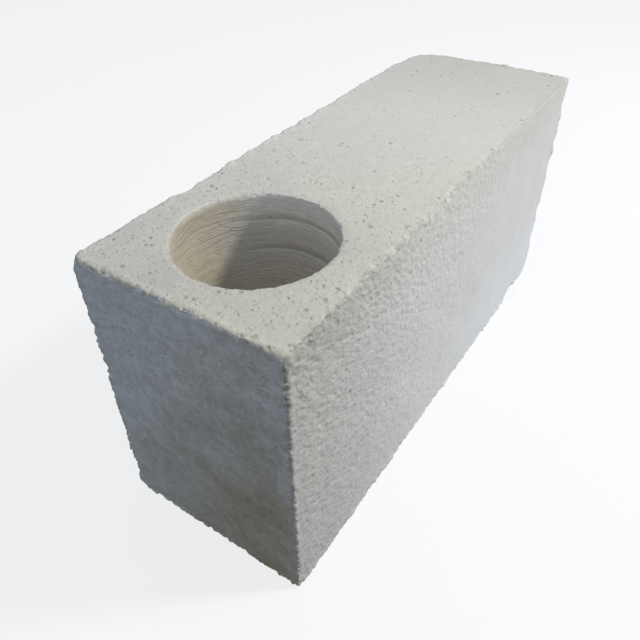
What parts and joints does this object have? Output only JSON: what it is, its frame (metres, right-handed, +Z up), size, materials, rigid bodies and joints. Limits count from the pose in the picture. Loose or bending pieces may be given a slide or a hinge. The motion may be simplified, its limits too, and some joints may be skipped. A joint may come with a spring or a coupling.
{
  "type": "cored aerated concrete block",
  "caption": "Rectangular aerated concrete wall block with a round core drilled through it, near one end, for a vertical bar and grout.",
  "frame": {"origin": "middle of the bottom bed face", "axes": "+X along the length, away from the cored end; +Y across the thickness; +Z up, along the core"},
  "size_m": [0.5, 0.175, 0.25],
  "materials": {
    "aerated_concrete": "matt, finely porous, wire-cut off-white aerated concrete with worn arrises"
  },
  "bodies": {
    "root": {"block": "aerated_concrete"}
  },
  "joints": []
}
